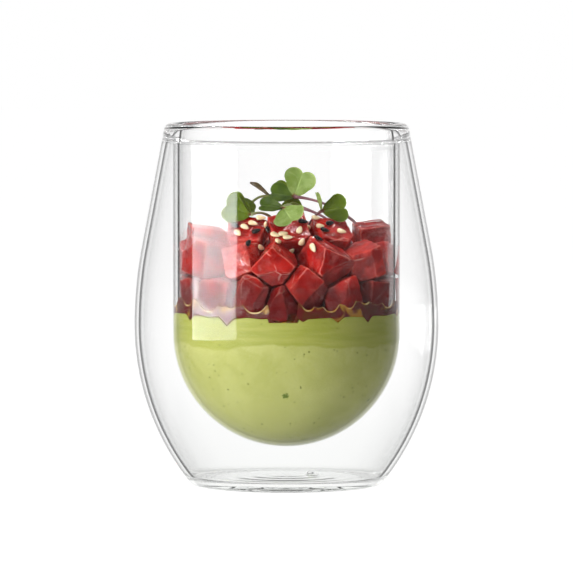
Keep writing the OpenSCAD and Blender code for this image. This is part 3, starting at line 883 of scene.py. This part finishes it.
def build_seeds(name, node, slot, material, seed):
    """One plump seed in the place of each flat CAD seed."""
    draw = random.Random(seed)
    all_points, all_faces = [], []
    for group in islands(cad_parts[node].data):
        cloud = np.array([tuple(p) for p in group]) / MM
        centre = cloud.mean(0)
        # The directions of the CAD seed, from its thickness to its length
        axes = np.linalg.eigh(np.cov((cloud - centre).T))[1]
        long_axis, wide_axis = axes[:, 2], axes[:, 1]
        offsets = (cloud - centre) @ long_axis
        if abs(offsets.min()) > abs(offsets.max()):
            long_axis = -long_axis
        flat = np.cross(long_axis, wide_axis)
        if flat[2] < 0:
            flat, wide_axis = -flat, -wide_axis
        middle = (cloud.min(0) + cloud.max(0)) / 2
        points, faces = seed_points(
            draw.uniform(2.7, 2.9), draw.uniform(1.6, 1.75), draw.uniform(1.0, 1.15)
        )
        all_faces += shifted(faces, len(all_points))
        all_points += [
            middle + x * long_axis + y * wide_axis + z * flat for x, y, z in points
        ]
    obj = make_object(name, mesh_from(name, all_points, all_faces), material)
    settle(obj, slot, node)


# ---- sprouts
STEM_D = 0.9
LEAF_L = 7.6
LEAF_CUP = 9.0
LEAF_THICK = 0.3
# A leaf's lobes, as shares of its length: their radius, and how far their centres
# are out from the joint and off the middle vein
LOBE_R = 0.33
LOBE_OUT = 0.67
LOBE_OFF = 0.25
# Name, foot and joint as shares of the cup's inside radius, height of the joint in
# die edges, bow of the stem, whether the stem is purple, and the leaves as
# [turn, lift, roll, size, look]
SPROUTS = [
    ("sprout_top", (0.63, -0.32), (0.07, -0.22), 3.20, 1.6, True,
     [(0, 70, 78, 1.08, "pale"), (176, 10, -40, 0.95, "dark")]),
    ("sprout_front", (0.11, -0.32), (-0.03, -0.62), 2.95, 2.4, False,
     [(-67, -28, 36, 1.08, "pale"), (178, 6, -30, 0.90, "dark")]),
    ("sprout_left", (-0.15, -0.23), (-0.32, -0.41), 2.72, 0.8, False,
     [(180, 21, -74, 1.08, "green"), (120, 48, 30, 0.90, "green")]),
    ("sprout_right", (0.18, -0.20), (0.32, -0.38), 2.82, 0.8, True,
     [(4, 8, 72, 0.97, "green"), (180, 74, 8, 0.74, "pale")]),
    ("sprout_back", (-0.34, -0.16), (-0.14, -0.06), 3.18, 1.2, False,
     [(180, 34, 6, 0.98, "brown"), (15, 22, 60, 0.80, "green")]),
    ("sprout_small", (0.60, -0.10), (0.15, 0.02), 2.84, 1.6, True,
     [(165, 20, 60, 0.85, "green"), (200, -4, 40, 0.70, "pale")]),
]
LEAF_LOOKS = {
    "pale": ((0.215, 0.31, 0.06), (0.32, 0.42, 0.125)),
    "green": ((0.10, 0.155, 0.004), (0.175, 0.25, 0.018)),
    "dark": ((0.055, 0.10, 0.006), (0.10, 0.16, 0.015)),
    "brown": ((0.075, 0.055, 0.02), (0.14, 0.12, 0.05)),
}


def leaf_material(name, deep, light):
    """The map holds the angle from the middle vein, as a share of the leaf's
    half width, and the distance from the joint, as a share of its length."""
    n = Nodes(name)
    at = n.place()
    place = n.marks()
    side = n.math("ABSOLUTE", place["X"])
    tone = n.noise(at, 0.30, 4.0, 0.6)
    colour = n.mix(n.ramp(tone, 0.35, 0.65), deep, light)
    paler = tuple(min(1.0, 1.5 * c + 0.05) for c in light)
    # Veins fork from the middle one towards the rim
    wander = n.math("MULTIPLY", n.noise(at, 0.6, 2.0), 0.25)
    out = n.math("MULTIPLY", place["Y"], 3.4)
    fork = n.math("SUBTRACT", out, n.math("MULTIPLY", side, 1.7))
    fork = n.math("PINGPONG", n.math("ADD", n.math("ADD", fork, wander), 4.0), 0.5)
    vein = n.ramp(fork, 0.0, 0.055, 1.0, 0.0)
    vein = n.math("MULTIPLY", vein, n.ramp(side, 0.25, 0.95, 0.55, 0.1))
    middle = n.ramp(side, 0.015, 0.07, 1.0, 0.0)
    middle = n.math("MULTIPLY", middle, n.ramp(place["Y"], 0.55, 1.0, 0.75, 0.0))
    colour = n.mix(n.math("MAXIMUM", vein, middle), colour, paler)
    rim = n.ramp(place["Y"], 0.93, 0.99, 0.0, 0.55)
    colour = n.mix(rim, colour, paler)
    base = n.ramp(place["Y"], 0.04, 0.17, 0.9, 0.0)
    colour = n.mix(base, colour, (0.22, 0.045, 0.04))
    relief = n.math("SUBTRACT", n.noise(at, 2.5, 3.0), n.math("MULTIPLY", vein, 1.2))
    under = (0.12, (0.5, 1.0, 0.2), 0.6)
    return n.surface(colour, 0.38, n.bump(relief, 0.10, 0.6), under, ior=1.4, shine=0.1)


def stem_material(name, deep, light):
    n = Nodes(name)
    at = n.place()
    tone = n.noise(at, 0.12, 2.0)
    grain = n.noise(n.place((2.5, 2.5, 0.3)), 1.0, 2.0)
    colour = n.mix(n.ramp(tone, 0.4, 0.6), deep, light)
    return n.surface(colour, 0.35, n.bump(grain, 0.05, 0.5), (0.2, (1.0, 0.6, 0.5), 0.5))


def leaf_reach(turn, length):
    """Distance from the joint to the leaf's rim: two round lobes with a notch."""
    lobe = LOBE_R * length
    cx, cy = LOBE_OUT * length, LOBE_OFF * length
    a = min(abs(turn), leaf_spread())
    along = cx * math.cos(a) + cy * math.sin(a)
    off = cx * math.sin(a) - cy * math.cos(a)
    return along + math.sqrt(max(0.0, lobe * lobe - off * off))


def leaf_spread():
    """Half of the angle that a leaf fills, seen from the joint."""
    lobe = math.asin(LOBE_R / math.hypot(LOBE_OFF, LOBE_OUT))
    return math.atan2(LOBE_OFF, LOBE_OUT) + lobe


def leaf_sheet(length, seed):
    """The leaf as a fan of points around the joint, and its map."""
    fan, steps = 36, 18
    rows, places = [], []
    for i in range(steps + 1):
        t = i / steps
        row, place = [], []
        for j in range(fan + 1):
            share = 2 * j / fan - 1
            turn = share * leaf_spread()
            rim = leaf_reach(turn, length)
            belly = 0.055 * length * math.sin(math.pi * min(1, t * 1.1)) * abs(share) ** 3
            x = t * rim * math.cos(turn) - belly * abs(math.sin(turn))
            y = t * rim * math.sin(turn) + math.copysign(belly * math.cos(turn), share)
            wave = noise.noise(Vector((x * 0.45, y * 0.45, seed)))
            crease = 0.22 * math.exp(-(y / 0.45) ** 2) * min(1.0, 4 * t) * (1.1 - t)
            z = y * y / (2 * LEAF_CUP) - crease + 0.28 * wave * t
            z -= 0.03 * length * t * t
            row.append((x, y, z))
            place.append((share, t))
        rows.append(row)
        places.append(place)
    return rows, places


def leaf_blade(length, seed, move):
    """Both sides of a leaf and its edge, moved into place, and its map."""
    rows, places = leaf_sheet(length, seed)
    last, width = len(rows) - 1, len(rows[0])
    block = len(rows) * width
    points, faces = [], []
    for start, lift in ((0, LEAF_THICK / 2), (block, -LEAF_THICK / 2)):
        for i, row in enumerate(rows):
            # The blade thins out to its rim
            thick = lift * (1.0 - 0.6 * (i / last) ** 3)
            points += [move @ Vector((x, y, z + thick)) for x, y, z in row]
        for i in range(last):
            for j in range(width - 1):
                q = start + i * width + j
                face = (q, q + width, q + width + 1, q + 1)
                faces.append(face if lift > 0 else face[::-1])
    edge = (
        list(range(width))
        + [i * width + width - 1 for i in range(1, last + 1)]
        + [last * width + j for j in range(width - 2, -1, -1)]
        + [i * width for i in range(last - 1, 0, -1)]
    )
    for u, v in zip(edge, edge[1:] + edge[:1]):
        faces.append((u, block + u, block + v, v))
    return points, faces, [place for row in places for place in row] * 2


def stem_foot(name, share):
    """Where a stem starts: at the middle height of the CAD sprout's points there."""
    x, y = (BORE_R * c for c in share)
    near = [
        v.co.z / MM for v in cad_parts[name].data.vertices
        if math.hypot(v.co.x / MM - x, v.co.y / MM - y) < 1.0
    ]
    return Vector((x, y, (min(near) + max(near)) / 2 if near else BED_Z + 20))


def stem_tube(a, b, bow):
    """A bowed tube from a to b, a little thicker at the joint, with closed ends."""
    steps, sides = 28, 14
    axis = (b - a).normalized()
    up = Vector((0, 0, 1))
    up = (up - up.dot(axis) * axis).normalized()
    points, faces = [], []
    for i in range(steps + 1):
        t = i / steps
        centre = a.lerp(b, t) + up * bow * 4 * t * (1 - t)
        tangent = (b - a) + up * bow * 4 * (1 - 2 * t)
        tangent.normalize()
        side = tangent.cross(up).normalized()
        over = side.cross(tangent)
        r = STEM_D / 2 * (1.0 - 0.22 * math.sin(math.pi * t)) * (1 + 0.35 * t ** 12)
        for j in range(sides):
            turn = 2 * math.pi * j / sides
            points.append(centre + r * (math.cos(turn) * side + math.sin(turn) * over))
    for q in range(0, steps * sides, sides):
        for j in range(sides):
            k = (j + 1) % sides
            faces.append((q + j, q + k, q + sides + k, q + sides + j))
    faces.append(tuple(range(sides)))
    faces.append(tuple(reversed(range(steps * sides, (steps + 1) * sides))))
    return points, faces


def build_sprouts():
    leaf_looks = {
        name: leaf_material("sprout_leaf_" + name, *tones)
        for name, tones in LEAF_LOOKS.items()
    }
    purple = stem_material("sprout_stem_purple", (0.24, 0.08, 0.11), (0.46, 0.26, 0.28))
    green = stem_material("sprout_stem_green", (0.33, 0.38, 0.12), (0.48, 0.52, 0.24))
    for number, (name, foot, top, height, bow, dark_stem, leaves) in enumerate(SPROUTS):
        joint = Vector((BORE_R * top[0], BORE_R * top[1], BED_Z + height * DIE_EDGE))
        points, faces = stem_tube(stem_foot(name, foot), joint, bow)
        places = [(0.0, 0.5)] * len(points)
        materials = [purple if dark_stem else green]
        looks = [0] * len(faces)
        for which, (turn, lift, roll, size, look) in enumerate(leaves):
            move = (
                Matrix.Translation(joint)
                @ Matrix.Rotation(math.radians(turn), 4, "Z")
                @ Matrix.Rotation(math.radians(-lift), 4, "Y")
                @ Matrix.Rotation(math.radians(roll), 4, "X")
            )
            leaf = leaf_blade(LEAF_L * size, 3.0 * number + which, move)
            faces += shifted(leaf[1], len(points))
            points += leaf[0]
            places += leaf[2]
            materials.append(leaf_looks[look])
            looks += [which + 1] * len(leaf[1])
        mesh = mesh_from(name, points, faces)
        map_points(mesh, places)
        sprout = make_object("greens_" + name[7:], mesh, *materials)
        mesh.polygons.foreach_set("material_index", looks)
        settle(sprout, "sprout_green", name)


# ---- the studio
# In mm
FLOOR_HALF = 4000.0
FLOOR_GLOW = 0.976
# How bright the sky is where it only lights, and where the glass shows its top
SKY = 0.16
SKY_TOP = 0.22
# Lamps for the food and the floor: name, place, aim, size in m, power in W
LAMPS = [
    ("key", (-0.80, -0.72, 0.20), (0, 0, 0.05), (0.20, 0.20), 8.6),
    ("fill", (-0.45, -1.1, 0.03), (0, 0, 0.05), (0.4, 0.05), 2.9),
    ("top", (0.12, 0.10, 0.80), (0, 0, 0.07), (0.14, 0.14), 2.0),
    ("back", (0.5, 1.0, 0.25), (0, 0, 0.06), (0.4, 0.4), 3.0),
]
# Small lamps all round: turn from the front and height, in degrees
GLINTS = [
    (-32, 50), (8, 62), (38, 34), (-62, 30), (68, 48), (150, 45), (210, 35), (285, 55)
]
GLINT_AWAY = 0.9
GLINT_SIZE = 0.038
GLINT_POWER = 0.92


def build_floor():
    n = Nodes("floor")
    paint = n.add("ShaderNodeBsdfDiffuse", {"Color": (0.16, 0.16, 0.16, 1)})
    lit = n.add("ShaderNodeEmission", {"Color": (1, 1, 1, 1), "Strength": FLOOR_GLOW})
    seen = n.add("ShaderNodeAddShader", {0: paint, 1: lit})
    plain = n.add("ShaderNodeBsdfDiffuse", {"Color": (0.75, 0.75, 0.75, 1)})
    path = n.add("ShaderNodeLightPath").outputs
    white = n.math("MAXIMUM", path["Is Camera Ray"], path["Is Glossy Ray"])
    white = n.math("MAXIMUM", white, path["Is Transmission Ray"])
    look = n.finish(n.add("ShaderNodeMixShader", {0: white, 1: plain, 2: seen}))
    h = FLOOR_HALF
    corners = [(-h, -h, 0), (h, -h, 0), (h, h, 0), (-h, h, 0)]
    floor = make_object("floor", mesh_from("floor", corners, [(0, 1, 2, 3)]), look)
    floor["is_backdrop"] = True
    return floor


def build_world():
    world = bpy.data.worlds.new("studio")
    bpy.context.scene.world = world
    n = Nodes("studio", world)
    path = n.add("ShaderNodeLightPath").outputs
    way = n.split(n.add("ShaderNodeTexCoord").outputs["Generated"])
    # White all round at eye level, and greyer above, which draws the rim of the glass
    seen = n.ramp(way["Z"], 0.20, 0.34, 1.0, SKY_TOP)
    glassy = n.math("MAXIMUM", path["Is Glossy Ray"], path["Is Transmission Ray"])
    level = n.math("ADD", n.math("MULTIPLY", glassy, seen),
                   n.math("MULTIPLY", n.math("SUBTRACT", 1.0, glassy), SKY))
    level = n.math("MAXIMUM", level, path["Is Camera Ray"])
    n.finish(n.add("ShaderNodeBackground", {"Color": (1, 1, 1, 1), "Strength": level}))


def area_lamp(name, at, aim, size, power, receivers):
    """A lamp that lights only the receivers."""
    data = bpy.data.lights.new(name, "AREA")
    data.shape = "RECTANGLE"
    data.size, data.size_y = size
    data.energy = power
    lamp = bpy.data.objects.new(name, data)
    bpy.context.scene.collection.objects.link(lamp)
    lamp.location = at
    way = Vector(aim) - Vector(at)
    lamp.rotation_mode = "QUATERNION"
    lamp.rotation_quaternion = way.to_track_quat("-Z", "Y")
    lamp.light_linking.receiver_collection = receivers
    return lamp


def collection_of(name, objects):
    group = bpy.data.collections.new(name)
    for obj in objects:
        group.objects.link(obj)
    return group


def build_lights(tumbler, floor):
    glassware = collection_of("glassware", [tumbler])
    foods = [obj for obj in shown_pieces() if obj is not tumbler]
    food = collection_of("food", foods + [floor])
    for lamp in LAMPS:
        area_lamp(*lamp, food)
    # Small bright ones for the glints on wet flesh
    flesh = collection_of(
        "flesh", [obj for obj in foods if obj.name.startswith(("die_", "sesame_"))]
    )
    for k, (turn, height) in enumerate(GLINTS):
        turn, height = math.radians(turn), math.radians(height)
        aim = Vector((0, 0, 0.06))
        way = Vector((math.sin(turn) * math.cos(height),
                      -math.cos(turn) * math.cos(height), math.sin(height)))
        area_lamp(f"glint_{k}", aim + GLINT_AWAY * way, aim, (GLINT_SIZE, GLINT_SIZE),
                  GLINT_POWER, flesh)
    # A tall white screen at the left, seen only where the inner cup mirrors it
    veil = area_lamp(
        "veil", (-0.45, -0.116, 0.045), (0, -0.116, 0.045), (0.51, 0.09), 3.9, glassware
    )
    veil.visible_glossy = False
    veil.visible_diffuse = False


# ---- the scene
tumbler = build_tumbler()
build_mousse()
build_dressing()
build_dice()
build_seeds(
    "sesame_white", "white_sesame_seeds", "white_sesame",
    seed_material("white_sesame", (0.93, 0.76, 0.50), (0.82, 0.60, 0.34), 0.28, 0.5),
    seed=5,
)
build_seeds(
    "sesame_black", "black_sesame_seeds", "black_sesame",
    seed_material(
        "black_sesame", (0.006, 0.005, 0.005), (0.014, 0.011, 0.010), 0.3, 0.12
    ),
    seed=9,
)
build_sprouts()
floor = build_floor()
build_world()
build_lights(tumbler, floor)

camera = bpy.data.objects.new("camera", bpy.data.cameras.new("camera"))
bpy.context.scene.collection.objects.link(camera)
bpy.context.scene.camera = camera
camera.location = (0, -1.7, 0.155)
camera.rotation_mode = "QUATERNION"
camera.rotation_quaternion = (
    Vector((0, 0, 0.0576)) - camera.location
).to_track_quat("-Z", "Y")
camera.data.sensor_width = 36
camera.data.lens = 368.6
camera.data.clip_start, camera.data.clip_end = 0.05, 20

scene = bpy.context.scene
scene.view_settings.view_transform = "Standard"
scene.cycles.max_bounces = 24
# At its default of 10 this dims the pale patch that the inner cup mirrors
scene.cycles.sample_clamp_indirect = 60
scene.cycles.transmission_bounces = 24
scene.cycles.glossy_bounces = 12
scene.cycles.transparent_max_bounces = 24
